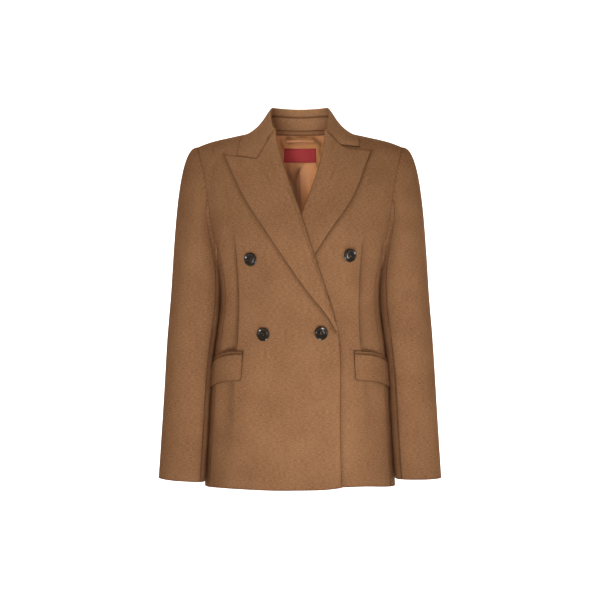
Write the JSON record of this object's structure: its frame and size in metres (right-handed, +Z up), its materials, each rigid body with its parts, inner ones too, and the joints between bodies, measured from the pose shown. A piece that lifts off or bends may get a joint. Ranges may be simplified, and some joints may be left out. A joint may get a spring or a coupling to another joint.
{
  "type": "double breasted blazer",
  "caption": "Double breasted peak-lapel blazer in its worn hollow form, with open neck, hem and cuffs, flap pockets and long sleeves.",
  "frame": {"origin": "on the centre line at the height of the back neck seam, in the plane of the shoulder seams, where the wearer's shoulders hold the garment up", "axes": "+X towards the wearer's left, +Y towards the back, +Z up"},
  "size_m": [0.537, 0.2605, 0.728],
  "materials": {
    "wool_cloth": "brushed wool twill, matt",
    "satin_lining": "satin weave, soft sheen",
    "woven_label": "woven ribbon, matt, bare",
    "horn_button": "polished dark horn"
  },
  "bodies": {
    "root": {"front_left": "wool_cloth", "front_right": "wool_cloth", "side_left": "wool_cloth", "side_right": "wool_cloth", "back_left": "wool_cloth", "back_right": "wool_cloth", "top_sleeve_left": "wool_cloth", "top_sleeve_right": "wool_cloth", "under_sleeve_left": "wool_cloth", "under_sleeve_right": "wool_cloth", "lapel_left": "wool_cloth", "lapel_right": "wool_cloth", "collar_fall": "wool_cloth", "collar_stand": "wool_cloth", "pocket_flap_left": "wool_cloth", "pocket_flap_right": "wool_cloth", "pocket_welt_left": "wool_cloth", "pocket_welt_right": "wool_cloth", "neck_facing": "wool_cloth", "back_lining": "satin_lining", "hanger_loop": "satin_lining", "neck_label": "woven_label", "button_upper_right": "horn_button", "button_upper_left": "horn_button", "button_lower_right": "horn_button", "button_lower_left": "horn_button"}
  },
  "joints": []
}
